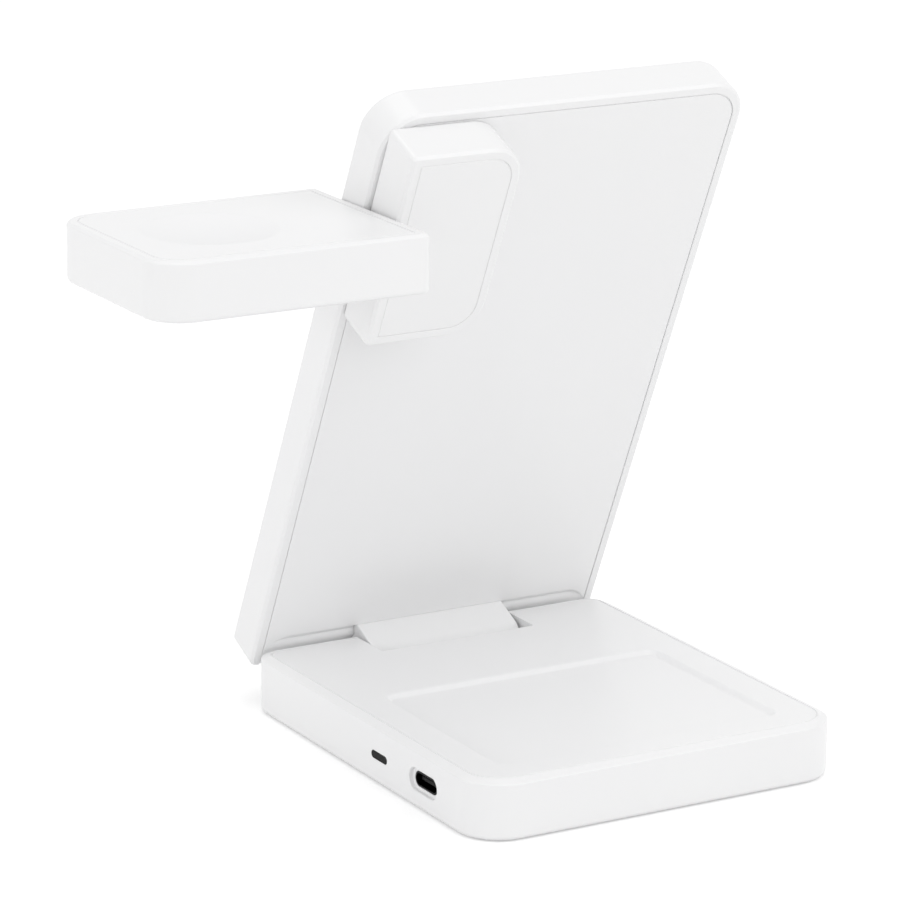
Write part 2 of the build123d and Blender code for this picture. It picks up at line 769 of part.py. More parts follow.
# Bracket: D-shaped housing screwed on through the panel cover, with the pivot's bush in its left side
bush_radius = pivot_radius + running_fit + bush_wall
bracket_tub = housing(
    on_panel(bracket_rise, bracket_thickness, bracket_across), bracket_plan, bracket_thickness, bracket_floor
)
with BuildPart() as bracket_shell:
    add(bracket_tub)
    with BuildSketch(on_panel(bracket_rise, bracket_floor, bracket_across)):
        with GridLocations(bracket_screw_columns, bracket_screw_rows, 2, 2):
            Circle(bracket_boss_radius)
    extrude(amount=bracket_boss_height)
    with BuildSketch(on_panel(bracket_rise, 0, bracket_across)):
        with GridLocations(bracket_screw_columns, bracket_screw_rows, 2, 2):
            Circle(screw_radius + press_fit)
    extrude(amount=bracket_floor + bracket_boss_height, mode=Mode.SUBTRACT)
    with BuildSketch(on_panel(bracket_rise, 0, bracket_across)):
        Circle(wire_hole_radius)
    extrude(amount=bracket_floor, mode=Mode.SUBTRACT)
    with BuildSketch(Plane.YZ.offset(bracket_left)):
        with Locations(pivot_axis):
            Circle(bush_radius + press_fit)
    extrude(amount=side_wall, mode=Mode.SUBTRACT)
bracket_shell.part.label = "bracket_shell"
export_step(bracket_shell.part, "parts/bracket_shell.step")

with BuildPart() as bracket_cover:
    with BuildSketch(on_panel(bracket_rise, bracket_thickness, bracket_across)):
        add(bracket_plan(rim + seam))
    extrude(amount=-cover_thickness)
bracket_cover.part.label = "bracket_cover"
export_step(bracket_cover.part, "parts/bracket_cover.step")

with BuildPart() as bracket_screws:
    with BuildSketch(on_panel(bracket_rise, -cover_thickness, bracket_across)):
        with GridLocations(bracket_screw_columns, bracket_screw_rows, 2, 2):
            Circle(screw_head_radius)
    extrude(amount=-screw_head_height)
    with BuildSketch(on_panel(bracket_rise, -cover_thickness, bracket_across)):
        with GridLocations(bracket_screw_columns, bracket_screw_rows, 2, 2):
            Circle(screw_radius)
    extrude(amount=cover_thickness + bracket_floor + bracket_boss_height - screw_tip_gap)
bracket_screws.part.label = "bracket_screws"
export_step(bracket_screws.part, "parts/bracket_screws.step")

# Pivot: hollow shaft fixed in the platform's end, turning in the bush, held by a dished washer and a clip
bush_end = bracket_left + side_wall
washer_start = bush_end + bush_flange_length
clip_start = washer_start + washer_sheet + washer_dishing
shaft_start = platform_end - side_wall - pivot_flange_length
shaft_tip = clip_start + clip_thickness + shaft_end
clip_hole = pivot_radius - clip_groove

with BuildPart() as pivot_bush:
    with BuildSketch(Plane.YZ.offset(bracket_left)):
        with Locations(pivot_axis):
            Circle(bush_radius)
    extrude(amount=side_wall)
    with BuildSketch(Plane.YZ.offset(bush_end)):
        with Locations(pivot_axis):
            Circle(bush_radius + bush_flange)
    extrude(amount=bush_flange_length)
    with BuildSketch(Plane.YZ.offset(bracket_left)):
        with Locations(pivot_axis):
            Circle(pivot_radius + running_fit)
    extrude(amount=side_wall + bush_flange_length, mode=Mode.SUBTRACT)
pivot_bush.part.label = "pivot_bush"
export_step(pivot_bush.part, "parts/pivot_bush.step")

with BuildPart() as pivot_shaft:
    with BuildSketch(Plane.YZ.offset(shaft_start)):
        with Locations(pivot_axis):
            Circle(pivot_flange_radius)
    extrude(amount=pivot_flange_length)
    with BuildSketch(Plane.YZ.offset(shaft_start)):
        with Locations(pivot_axis):
            Circle(pivot_radius)
    extrude(amount=shaft_tip - shaft_start)
    with BuildSketch(Plane.YZ.offset(clip_start)):
        with Locations(pivot_axis):
            Circle(pivot_radius)
            Circle(clip_hole, mode=Mode.SUBTRACT)
    extrude(amount=clip_thickness, mode=Mode.SUBTRACT)
    with BuildSketch(Plane.YZ.offset(shaft_start)):
        with Locations(pivot_axis):
            Circle(pivot_bore)
    extrude(amount=shaft_tip - shaft_start, mode=Mode.SUBTRACT)
pivot_shaft.part.label = "pivot_shaft"
export_step(pivot_shaft.part, "parts/pivot_shaft.step")

washer_ring = spring_washer(pivot_axis, washer_start, 1, pivot_washer_radius, pivot_radius + running_fit)
with BuildPart() as pivot_spring_washer:
    add(washer_ring)
pivot_spring_washer.part.label = "pivot_spring_washer"
export_step(pivot_spring_washer.part, "parts/pivot_spring_washer.step")

with BuildPart() as pivot_clip:
    with BuildSketch(Plane.YZ.offset(clip_start)):
        with Locations(pivot_axis):
            Circle(clip_radius)
            Circle(clip_hole + press_fit, mode=Mode.SUBTRACT)
            Rectangle(clip_mouth, clip_radius, align=(Align.CENTER, Align.MIN), mode=Mode.SUBTRACT)
    extrude(amount=clip_thickness)
pivot_clip.part.label = "pivot_clip"
export_step(pivot_clip.part, "parts/pivot_clip.step")

# Watch platform: housing with a round boss on its end that closes the gap to the bracket
dish_x = platform_end - platform_length + dish_from_end
dish_under = platform_top - dish_depth - dish_wall
dish_sphere = (dish_radius**2 + dish_depth**2) / (2 * dish_depth)
platform_floor = platform_top - platform_thickness + floor_thickness
boss_length = bracket_left - pivot_boss_gap - platform_end
platform_tub = housing(PLATFORM, platform_plan, platform_thickness, floor_thickness)
with BuildPart() as platform_shell:
    add(platform_tub)
    with BuildSketch(Plane.YZ.offset(platform_end)):
        with Locations(pivot_axis):
            Circle(pivot_boss_radius)
    extrude(amount=boss_length)
    with BuildSketch(Plane.YZ.offset(platform_end - side_wall)):
        with Locations(pivot_axis):
            Circle(pivot_radius + press_fit)
    extrude(amount=side_wall + boss_length, mode=Mode.SUBTRACT)
    with BuildSketch(Plane(origin=(dish_x, pivot.Y, platform_floor))):
        with GridLocations(
            platform_board_size - 2 * board_post_inset, platform_board_size - 2 * board_post_inset, 2, 2
        ):
            Circle(board_post_radius)
    extrude(amount=platform_board_lift)
platform_shell.part.label = "platform_shell"
export_step(platform_shell.part, "parts/platform_shell.step")

with BuildPart() as platform_cover:
    with BuildSketch(PLATFORM):
        add(platform_plan(rim + seam))
    extrude(amount=-cover_thickness)
    with BuildSketch(Plane(origin=(dish_x, pivot.Y, dish_under))):
        Circle(dish_radius + cover_thickness)
    extrude(amount=dish_depth + dish_wall)
    with Locations((dish_x, pivot.Y, platform_top - dish_depth + dish_sphere)):
        Sphere(dish_sphere, mode=Mode.SUBTRACT)
platform_cover.part.label = "platform_cover"
export_step(platform_cover.part, "parts/platform_cover.step")

# Watch coil round its magnet under the dish, with a ferrite ring, and the platform's board on the floor
DISH_UNDER = Plane(origin=(dish_x, pivot.Y, dish_under))
with BuildPart() as watch_coil:
    with BuildSketch(DISH_UNDER):
        Circle(watch_coil_radius)
        Circle(watch_coil_hole, mode=Mode.SUBTRACT)
    extrude(amount=-coil_thickness)
watch_coil.part.label = "watch_coil"
export_step(watch_coil.part, "parts/watch_coil.step")

with BuildPart() as watch_ferrite:
    with BuildSketch(DISH_UNDER.offset(-coil_thickness)):
        Circle(watch_coil_radius + ferrite_margin)
        Circle(watch_coil_hole, mode=Mode.SUBTRACT)
    extrude(amount=-ferrite_thickness)
watch_ferrite.part.label = "watch_ferrite"
export_step(watch_ferrite.part, "parts/watch_ferrite.step")

with BuildPart() as watch_magnet:
    with BuildSketch(DISH_UNDER):
        Circle(watch_magnet_radius)
    extrude(amount=-watch_magnet_thickness)
watch_magnet.part.label = "watch_magnet"
export_step(watch_magnet.part, "parts/watch_magnet.step")

with BuildPart() as platform_circuit_board:
    with BuildSketch(Plane(origin=(dish_x, pivot.Y, platform_floor + platform_board_lift))):
        Rectangle(platform_board_size, platform_board_size)
    extrude(amount=board_thickness)
platform_circuit_board.part.label = "platform_circuit_board"
export_step(platform_circuit_board.part, "parts/platform_circuit_board.step")
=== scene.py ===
# %% [markdown]
# # A folding charging stand for phone, watch and earbuds
# The stand is three white mouldings on two hinges: a base with a shallow tray, a panel that leans over it, and a
# watch platform on a bracket at the panel's side. The engineering model is loaded first and never moved. Its
# mouldings have the right sizes but knife-sharp edges, and it is the small rounded edge that makes a moulding look
# real. So each visible moulding is drawn again here, measured from the model, with its edges rounded.

import json
import math

import bmesh
import bpy
import numpy as np
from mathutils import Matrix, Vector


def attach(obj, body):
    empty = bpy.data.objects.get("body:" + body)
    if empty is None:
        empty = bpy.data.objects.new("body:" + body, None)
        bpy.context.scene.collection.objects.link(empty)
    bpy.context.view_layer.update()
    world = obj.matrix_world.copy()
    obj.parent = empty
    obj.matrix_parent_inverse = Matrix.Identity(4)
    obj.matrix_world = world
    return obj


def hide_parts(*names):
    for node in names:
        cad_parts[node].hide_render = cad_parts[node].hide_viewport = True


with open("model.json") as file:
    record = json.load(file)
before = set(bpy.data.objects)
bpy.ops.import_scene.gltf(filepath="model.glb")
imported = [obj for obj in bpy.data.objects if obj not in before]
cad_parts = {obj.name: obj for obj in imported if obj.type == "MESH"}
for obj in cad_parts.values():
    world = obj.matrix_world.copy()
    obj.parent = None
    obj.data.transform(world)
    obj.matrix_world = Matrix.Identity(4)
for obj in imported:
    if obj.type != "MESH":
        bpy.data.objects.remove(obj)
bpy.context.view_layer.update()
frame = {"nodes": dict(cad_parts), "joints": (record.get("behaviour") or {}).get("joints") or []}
nodes = frame["nodes"]
MM = 0.001

# %% [markdown]
# ## Work planes
# A moulding is easiest to draw flat, as an outline with heights above it. The base and the watch platform are drawn
# on a level plane. The panel and its bracket are drawn on a plane that leans as the panel does: the fold joint turns
# the panel down until it lies flat, so its range gives the lean. Sizes are then measured off the model's own parts.

# %% Work planes and measuring
joints = {joint["name"]: joint for joint in frame["joints"]}
lean = math.radians(90 - joints["panel_fold"]["range_deg"][1])


def work_plane(origin, x_dir, y_dir):
    """Four rows: the origin in millimetres, the two drawing directions, and their cross product for heights."""
    return np.array([origin, x_dir, y_dir, np.cross(x_dir, y_dir)], float)


def drawn(node, plane):
    """A node's vertices in a plane's own coordinates: (p - origin) dotted with each of its directions."""
    flat = np.empty(3 * len(nodes[node].data.vertices), np.float32)
    nodes[node].data.vertices.foreach_get("co", flat)
    return (flat.reshape(-1, 3) / MM - plane[0]) @ plane[1:].T


def reach(node, plane):
    """Lowest and highest drawn coordinates of a node."""
    points = drawn(node, plane)
    return points.min(0), points.max(0)


LEVEL = work_plane((0, 0, 0), (1, 0, 0), (0, 1, 0))
LEANING = work_plane((0, 0, 0), (1, 0, 0), (0, -math.sin(lean), math.cos(lean)))
SECTION = work_plane((0, 0, 0), (0, 1, 0), (0, 0, 1))
print("panel leans", round(math.degrees(lean), 2), "degrees, and reaches", reach("panel_shell", LEANING))

# %% [markdown]
# ## Outlines with rounded corners
# Every moulding here is a profile carried round an outline, as a router cutter is carried round a board. The outline
# is a polygon whose corners are arcs. Drawn inwards, an outer corner's arc keeps its centre and loses radius, and an
# inner corner's arc gains it, so one function gives the outline at every depth of the profile as a single array.

# %% Outline and profile functions
SMALLEST_ARC = 0.15


def outline(corners, radii, inset, steps=10, run=6):
    """Closed outlines, one for each inset, as an array (insets, points, 2).

    With inward normals n1 and n2 of the sides before and after a corner, the corner moves along the mitre
    (n1 + n2) / (1 + n1.n2). With s = +1 at an outer corner and -1 at an inner one, the arc's radius is r - s inset,
    its centre lies s radii along the mitre, and its point at angle a is centre + radius (-s n1 cos a + d sin a),
    where d is the direction of the side before. `run` points divide each straight side.
    """
    corners, inset = np.asarray(corners, float), np.atleast_1d(inset).astype(float)[:, None]
    before = corners - np.roll(corners, 1, 0)
    before /= np.linalg.norm(before, axis=1, keepdims=True)
    after = np.roll(before, -1, 0)
    normal = np.stack([-before[:, 1], before[:, 0]], 1)
    mitre = normal + np.roll(normal, -1, 0)
    mitre /= 1 + np.sum(normal * np.roll(normal, -1, 0), 1, keepdims=True)
    side = np.sign(before[:, 0] * after[:, 1] - before[:, 1] * after[:, 0])
    turn = np.arccos(np.clip(np.sum(before * after, 1), -1, 1))
    radius = np.maximum(np.asarray(radii, float) - side * inset, SMALLEST_ARC)
    centre = corners + (inset + side * radius)[..., None] * mitre
    angle = (turn[:, None] * np.linspace(0, 1, steps + 1))[..., None]
    swing = -side[:, None, None] * normal[:, None] * np.cos(angle) + before[:, None] * np.sin(angle)
    arcs = centre[:, :, None] + radius[:, :, None, None] * swing
    start, end = arcs[:, :, -1:], np.roll(arcs, -1, 1)[:, :, :1]
    runs = start + (end - start) * np.linspace(0, 1, run + 2)[1:-1, None]
    return np.concatenate([arcs, runs], 2).reshape(len(inset), -1, 2)


def rounded_line(points, radii, steps=5):
    """Open line whose inner corners are arcs: centre = corner + b r / sin h, from corner + u r / tan h, where u and v
    point to the neighbours, b bisects them and h is half the angle between them."""
    points, radius = np.asarray(points, float), np.asarray(radii, float)[:, None]
    corner = points[1:-1]
    u, v = points[:-2] - corner, points[2:] - corner
    u, v = u / np.linalg.norm(u, axis=1, keepdims=True), v / np.linalg.norm(v, axis=1, keepdims=True)
    half = np.arccos(np.clip(np.sum(u * v, 1), -1, 1))[:, None] / 2
    centre = corner + (u + v) / np.linalg.norm(u + v, axis=1, keepdims=True) * radius / np.sin(half)
    spoke = (corner + u * radius / np.tan(half) - centre)[:, None]
    angle = ((math.pi - 2 * half) * np.linspace(0, 1, steps + 1))[..., None]
    arcs = centre[:, None] + spoke * np.cos(angle) - (u * radius)[:, None] * np.sin(angle)
    return np.concatenate([points[:1], arcs.reshape(-1, 2), points[-1:]])


def carry(corners, radii, line, face, steps=10, run=6):
    """Rings of a profile carried round an outline: each (inset, height) of the line is the outline drawn in by that
    inset, at that height above the face."""
    rings = outline(corners, radii, line[:, 0], steps, run)
    heights = np.broadcast_to(face + line[:, 1][:, None, None], rings.shape[:2] + (1,))
    return np.concatenate([rings, heights], 2)


def box_corners(low, high, grow=0.0):
    """Corners of a plan, counter-clockwise from the low left one."""
    (x0, y0), (x1, y1) = np.asarray(low)[:2] - grow, np.asarray(high)[:2] + grow
    return np.array([(x0, y0), (x1, y0), (x1, y1), (x0, y1)])


print("a ring has", outline(box_corners((0, 0), (1, 1)), (0.2,) * 4, 0).shape[1], "points")

# %% [markdown]
# ## From rings to a piece
# Rings become a mesh by joining each to the next with four-sided faces and closing the first and last. Slots and
# recesses are cut with a Boolean, which is how the tool maker cuts them too. Weighted normals then let the large
# flat faces keep their own direction, so that only the rounded edges shade from one face to the next.

# %% Skinning, cutting and finishing
WELD = 2e-7
CREASE = math.radians(38)
CUT_CLEAR = 0.01


def skin(name, rings, plane, ring_of_rings=False):
    """Object over rings (m, n, 3) drawn on a plane; the last ring joins the first if it is a ring of rings."""
    count, around = rings.shape[:2]
    index = np.arange(count * around).reshape(count, around)
    here = index if ring_of_rings else index[:-1]
    there = np.roll(index, -1, 0) if ring_of_rings else index[1:]
    quads = np.stack([here, np.roll(here, -1, 1), np.roll(there, -1, 1), there], -1).reshape(-1, 4).tolist()
    ends = [] if ring_of_rings else [index[0][::-1].tolist(), index[-1].tolist()]
    points = (plane[0] + rings.reshape(-1, 3) @ plane[1:]) * MM
    mesh = bpy.data.meshes.new(name)
    mesh.from_pydata(points.tolist(), [], quads + ends)
    shell = bmesh.new()
    shell.from_mesh(mesh)
    bmesh.ops.remove_doubles(shell, verts=shell.verts, dist=WELD)
    bmesh.ops.recalc_face_normals(shell, faces=shell.faces)
    shell.to_mesh(mesh)
    shell.free()
    made = bpy.data.objects.new(name, mesh)
    bpy.context.scene.collection.objects.link(made)
    return made


def combine(piece, tool, operation):
    """The piece joined with a tool, or with the tool cut away, and the tool removed."""
    step = piece.modifiers.new(operation.lower(), "BOOLEAN")
    step.object, step.operation, step.solver = tool, operation, "EXACT"
    shaped = bpy.data.meshes.new_from_object(piece.evaluated_get(bpy.context.evaluated_depsgraph_get()))
    piece.modifiers.clear()
    piece.data = shaped
    bpy.data.objects.remove(tool)
    return piece


def block(corners, radii, low, high, plane):
    """Prism over an outline, from one height to another, as a tool for joining or cutting."""
    return skin("tool", carry(corners, radii, np.array([(0, low), (0, high)], float), 0), plane)


def lipped_cutter(corners, radii, face, depth, lip, plane):
    """Cutter for a recess whose mouth is rounded: straight walls up to the lip, then a quarter circle that opens
    outwards, inset = lip (sin a - 1) and height = lip (cos a - 1), and straight up from there."""
    a = np.linspace(math.pi / 2, 0, 7)
    mouth = np.stack([lip * (np.sin(a) - 1), lip * (np.cos(a) - 1) + CUT_CLEAR], 1)
    line = np.concatenate([[(0, -depth)], mouth, [(-lip, 2.0)]])
    return skin("tool", carry(corners, radii, line, face), plane)


def moulded(piece, body, node):
    """Smooth shading with creases kept, weighted normals, and the piece set on its body in its node's place."""
    piece.name = piece.data.name = node + "_moulded"
    piece.data.shade_smooth()
    piece.data.set_sharp_from_angle(angle=CREASE)
    even = piece.modifiers.new("even_normals", "WEIGHTED_NORMAL")
    even.keep_sharp = True
    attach(piece, body)
    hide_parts(node)
    print(piece.name, len(piece.data.polygons), "faces")
    return piece


mouldings = []

# %% [markdown]
# ## The profile of a housing
# Base, panel, bracket and platform are made alike: an open tub with a bevelled rim, a pocket in the rim for the
# cover, and a hollow inside. The profile starts under the middle, goes out and up the wall, over the bevel, down
# into the pocket, and back to the middle of the floor. Its edges are rounded as a polished mould leaves them.

# %% Housing and cover profiles
RIM, LEDGE, SEAM, PLATE, FLOOR = 2.2, 1.0, 0.25, 1.6, 1.6
FLANGE_GAP = 0.03
MIDDLE = 6.0
BEVEL_ROUND, SEAM_ROUND, FAR_ROUND = 0.3, 0.12, 1.0


def tub_line(height, bevel_width=0.6, bevel_drop=0.6):
    """(inset, height) from under the middle, round the wall and rim, to the floor's middle; the face is at 0."""
    points = [
        (MIDDLE, -height), (0, -height), (0, -bevel_drop), (bevel_width, 0), (RIM, 0), (RIM, -PLATE),
        (RIM + LEDGE, -PLATE), (RIM + LEDGE, FLOOR - height), (MIDDLE, FLOOR - height),
    ]
    return rounded_line(points, (FAR_ROUND, BEVEL_ROUND, BEVEL_ROUND, SEAM_ROUND, 0.1, 0.1, 0.5))


def cover_line(to, groove):
    """Flush plate from its underside up over a flange, which floors the seam's groove at that depth, and over its
    edge, ending `to` millimetres in from the rim on the top face."""
    edge, flange = RIM + SEAM, RIM + FLANGE_GAP
    points = [(MIDDLE, -PLATE), (flange, -PLATE), (flange, -groove), (edge, -groove), (edge, 0), (to, 0)]
    return rounded_line(points, (0.1, 0.02, 0.05, SEAM_ROUND))


print("housing profile", len(tub_line(10)), "points, cover profile", len(cover_line(MIDDLE, 0.2)))

# %% [markdown]
# ## Base
# The tub has large front corners and small rear ones. A bay for the hinge is cut through its rear, so a block is
# added there first for the bay's walls. In the left side are the charging socket, in a shallow recess with a rounded
# mouth, and the slot for the status lens.

# %% Base shell
BAY_FRONT_GAP, BAY_WALL, BAY_ROUND, THROUGH = 3.3, 2.0, (0.5,) * 4, 5
RECESS, RECESS_DEPTH, RECESS_LIP = (11.3, 4.7), 0.9, 0.3
SOCKET_HOLE = (9.18, 3.4)
LENS_SLOT, LENS_LIP = (6.6, 1.75), 0.1
base_low, base_high = reach("base_shell", LEVEL)
base_corners, base_radii = box_corners(base_low, base_high), (9.5, 9.5, 5.0, 5.0)
base_top = base_high[2]
base_line = tub_line(base_top - base_low[2], bevel_width=1.85, bevel_drop=0.8)
base = skin("base", carry(base_corners, base_radii, base_line, base_top), LEVEL)

pin_low, pin_high = reach("hinge_pin", LEVEL)
washer_low, washer_high = reach("hinge_spring_washers", LEVEL)
bay_front = reach("hinge_cover", LEVEL)[0][1] - BAY_FRONT_GAP
bay_block = box_corners((pin_low[0], bay_front - BAY_WALL), (pin_high[0], base_high[1] - 1.0))
combine(base, block(bay_block, (0.3,) * 4, base_low[2] + 0.8, base_top - PLATE - 0.01, LEVEL), "UNION")
bay = box_corners((washer_low[0], bay_front), (washer_high[0], base_high[1] + THROUGH))
combine(base, block(bay, BAY_ROUND, base_low[2] - THROUGH, base_top + THROUGH, LEVEL), "DIFFERENCE")

LEFT_SIDE = work_plane((base_low[0], 0, 0), (0, -1, 0), (0, 0, 1))
socket_low, socket_high = reach("usb_socket", LEFT_SIDE)
lens_low, lens_high = reach("status_lens", LEFT_SIDE)
socket_middle = (socket_low + socket_high)[:2] / 2
lens_middle = (lens_low + lens_high)[:2] / 2


def capsule(middle, width, height):
    """Corners and radii of a slot with round ends."""
    half = np.array([width, height]) / 2
    return box_corners(middle - half, middle + half), (height / 2,) * 4


wall = RIM + LEDGE
recess = lipped_cutter(*capsule(socket_middle, *RECESS), 0, RECESS_DEPTH, RECESS_LIP, LEFT_SIDE)
combine(base, recess, "DIFFERENCE")
combine(base, block(*capsule(socket_middle, *SOCKET_HOLE), -wall - 1, 1, LEFT_SIDE), "DIFFERENCE")
lens_slot = lipped_cutter(*capsule(lens_middle, *LENS_SLOT), 0, wall + 1, LENS_LIP, LEFT_SIDE)
combine(base, lens_slot, "DIFFERENCE")
mouldings.append(moulded(base, "base", "base_shell"))

# %% [markdown]
# The base's cover is a flush plate, and the earbud tray is pressed into it. Its top face runs from the cover's
# outline to the tray's, both with the same number of points, and the tray's sides slope at 45 degrees with soft
# edges. That softness is what spreads the light along the tray's far side in a broad pale band.

# %% Base cover with the earbud tray
TRAY_FROM_REAR, TRAY_FROM_FRONT, TRAY_FROM_SIDE = 39.2, 9.0, 10.1
TRAY_DEPTH, TRAY_ROUND, TRAY_CORNERS = 1.0, 0.8, (3.0,) * 4
tray_low = (base_low[0] + TRAY_FROM_SIDE, base_low[1] + TRAY_FROM_FRONT)
tray_high = (base_high[0] - TRAY_FROM_SIDE, base_high[1] - TRAY_FROM_REAR)
tray_line = rounded_line(
    [(-2, 0), (0, 0), (TRAY_DEPTH, -TRAY_DEPTH), (MIDDLE, -TRAY_DEPTH)], (TRAY_ROUND, TRAY_ROUND), steps=8
)
plate_rings = carry(base_corners, base_radii, cover_line(4.0, 0.12), base_top)
tray_rings = carry(box_corners(tray_low, tray_high), TRAY_CORNERS, tray_line, base_top)
base_plate = skin("base_plate", np.concatenate([plate_rings, tray_rings]), LEVEL)
combine(base_plate, block(bay, BAY_ROUND, base_top - THROUGH, base_top + THROUGH, LEVEL), "DIFFERENCE")
mouldings.append(moulded(base_plate, "base", "base_cover"))

# %% [markdown]
# ## Panel
# The panel is the same kind of tub, turned over: its floor is the face that a phone sits on. Along its lower edge the
# rim and the cover are cut back a little, with sloping sides and round upper corners, so that the panel can fold down
# over the base's rear edge. A rounded ridge is left along this relief, which catches the light, and a slot in it lets
# the hinge cover through to a rail that the hinge is screwed to.

# %% Panel shell and cover
panel_low, panel_high = reach("panel_shell", LEANING)
panel_corners, panel_radii = box_corners(panel_low, panel_high), (2.0, 2.0, 8.8, 8.8)
panel_face = reach("panel_cover", LEANING)[1][2]
panel_line = tub_line(panel_face - panel_low[2])
panel = skin("panel", carry(panel_corners, panel_radii, panel_line, panel_face), LEANING)

hinge_points = drawn("hinge_cover", LEANING)
root = hinge_points[hinge_points[:, 2] < hinge_points[:, 2].min() + 0.01]
ROOT_GAP, RAIL, PAST_EDGE = 0.05, 2.0, 9
RELIEF_FROM_SIDE, RELIEF_CORNER, RELIEF_DEPTH, RELIEF_HOLLOW, RELIEF_LIP = 2.0, 6.0, 1.0, 0.4, 0.15
RIDGE_BELOW_TOP, RIDGE_DEPTH, RIDGE_RADIUS = 2.9, 0.3, 1.6
relief_top = root[:, 1].max() + ROOT_GAP
rail_plan = box_corners((panel_low[0] + 2, panel_low[1] + 2), (panel_high[0] - 2, relief_top + 1.5))
rail_heights = (panel_face - PLATE - RAIL, panel_face - PLATE - 0.001)
combine(panel, block(rail_plan, (0.3,) * 4, *rail_heights, LEANING), "UNION")
relief_plan = box_corners(
    (panel_low[0] + RELIEF_FROM_SIDE, panel_low[1] - PAST_EDGE), (panel_high[0] - RELIEF_FROM_SIDE, relief_top)
)
relief_radii = (0.5, 0.5, RELIEF_CORNER, RELIEF_CORNER)
slot_half = root[:, 0].max() + ROOT_GAP
slot_plan = box_corners((-slot_half, panel_low[1] - PAST_EDGE), (slot_half, relief_top))
ridge_middle = LEANING[2] * (relief_top - RIDGE_BELOW_TOP) + LEANING[3] * (panel_face - RIDGE_DEPTH - RIDGE_RADIUS)
RIDGE = work_plane(ridge_middle, (0, 1, 0), (0, 0, 1))


def disc(radius):
    """Corners and radii of a circle about a plane's origin: a square whose corners are quarter circles."""
    return box_corners((-radius, -radius), (radius, radius)), (radius,) * 4


def cut_relief(piece):
    """Cuts the relief, with 45 degree sides, a hollow round its floor and the ridge left in it, and then the slot."""
    line = rounded_line(
        [(MIDDLE, -RELIEF_DEPTH), (RELIEF_DEPTH, -RELIEF_DEPTH), (0, 0), (-0.6, CUT_CLEAR), (-0.6, 2.0)],
        (RELIEF_HOLLOW, RELIEF_LIP, 0.05),
    )
    cutter = skin("tool", carry(relief_plan, relief_radii, line, panel_face), LEANING)
    combine(cutter, block(*disc(RIDGE_RADIUS), panel_low[0], panel_high[0], RIDGE), "DIFFERENCE")
    combine(piece, cutter, "DIFFERENCE")
    combine(piece, block(slot_plan, (0.1,) * 4, panel_face - PLATE, panel_face + 2, LEANING), "DIFFERENCE")


cut_relief(panel)
mouldings.append(moulded(panel, "panel", "panel_shell"))

panel_plate = skin("panel_plate", carry(panel_corners, panel_radii, cover_line(MIDDLE, 0.28), panel_face), LEANING)
cut_relief(panel_plate)
mouldings.append(moulded(panel_plate, "panel", "panel_cover"))

# %% [markdown]
# ## Hinge cover
# Between panel and base sits a hollow wedge that runs into a barrel about the hinge pin. It comes straight out of the
# panel as far as the panel's face. From there, and from its low edge, two lines just touch the barrel's circle. The
# arc between the two touching points is drawn as two corners of one polygon, both rounded to the barrel's radius,
# so that they join into one arc. The ends are closed, with short bosses that turn on the pin.

# %% Hinge cover
HINGE_WALL, HINGE_END_ROUND, ROOT_ROUND, BOSS, PIN_HOLE = 1.3, 0.25, 0.15, 2.75, 1.55
axis = np.array(joints["panel_fold"]["pos_m"][1:]) / MM
section_points = drawn("hinge_cover", SECTION)
barrel = axis[1] - section_points[:, 1].min()
hinge_half, boss_half = root[:, 0].max(), section_points[:, 2].max()


def root_corner(rise, height):
    """A place on the panel as (y, z)."""
    return (LEANING[2] * rise + LEANING[3] * height)[1:]


def touch_angle(point, radius, side):
    """Angle on a circle about the pin where a line from a point touches it: the point's own, turned by acos(R / d)."""
    spoke = point - axis
    return math.atan2(spoke[1], spoke[0]) + side * math.acos(radius / np.linalg.norm(spoke))


def wedge(upper, low, radius):
    """Corners of a wedge whose lines touch a circle about the pin. The two that stand for the circle's arc lie at
    R / cos(q / 4) from the pin, q / 4 and 3 q / 4 round from the first touching point to the last, q apart."""
    first, last = touch_angle(upper, radius, 1), touch_angle(low, radius, -1) % math.tau
    quarter = (last - first) / 4
    turn = first + quarter * np.array([1, 3])
    arc = axis + radius / math.cos(quarter) * np.stack([np.cos(turn), np.sin(turn)], 1)
    return [upper, *arc, low]


low_rise, rail = root.min(0)[1:]
top_rise = root[:, 1].max()
edge, low = root_corner(top_rise, panel_face), root_corner(low_rise, rail)
section = [root_corner(top_rise, rail)] + wedge(edge, low, barrel)
section_radii = (0.2, ROOT_ROUND, barrel, barrel, 0.2)
end_line = rounded_line(
    [(0.5, -hinge_half), (0, -hinge_half), (0, hinge_half), (0.5, hinge_half)], (HINGE_END_ROUND,) * 2
)
hollow_upper = root_corner(top_rise - HINGE_WALL, rail - 0.3)
hollow_low = root_corner(low_rise + HINGE_WALL, rail - 0.3)
inside, inside_half = barrel - HINGE_WALL, hinge_half - HINGE_WALL
PIN = work_plane((0, *axis), (0, 1, 0), (0, 0, 1))
hinge = skin("hinge", carry(section, section_radii, end_line, 0, steps=16, run=2), SECTION)
combine(hinge, block(*disc(BOSS), -boss_half, boss_half, PIN), "UNION")
hollow = wedge(hollow_upper, hollow_low, inside)
combine(hinge, block(hollow, (0.2, inside, inside, 0.2), -inside_half, inside_half, SECTION), "DIFFERENCE")
combine(hinge, block(*disc(PIN_HOLE), -boss_half - 1, boss_half + 1, PIN), "DIFFERENCE")
mouldings.append(moulded(hinge, "panel", "hinge_cover"))

# %% [markdown]
# ## Bracket
# A D-shaped housing stands on the panel's face near its top: nearly square on the left, where the watch platform
# turns against it, and round on the right. Its left wall has the hole that the pivot's bush is pressed into.

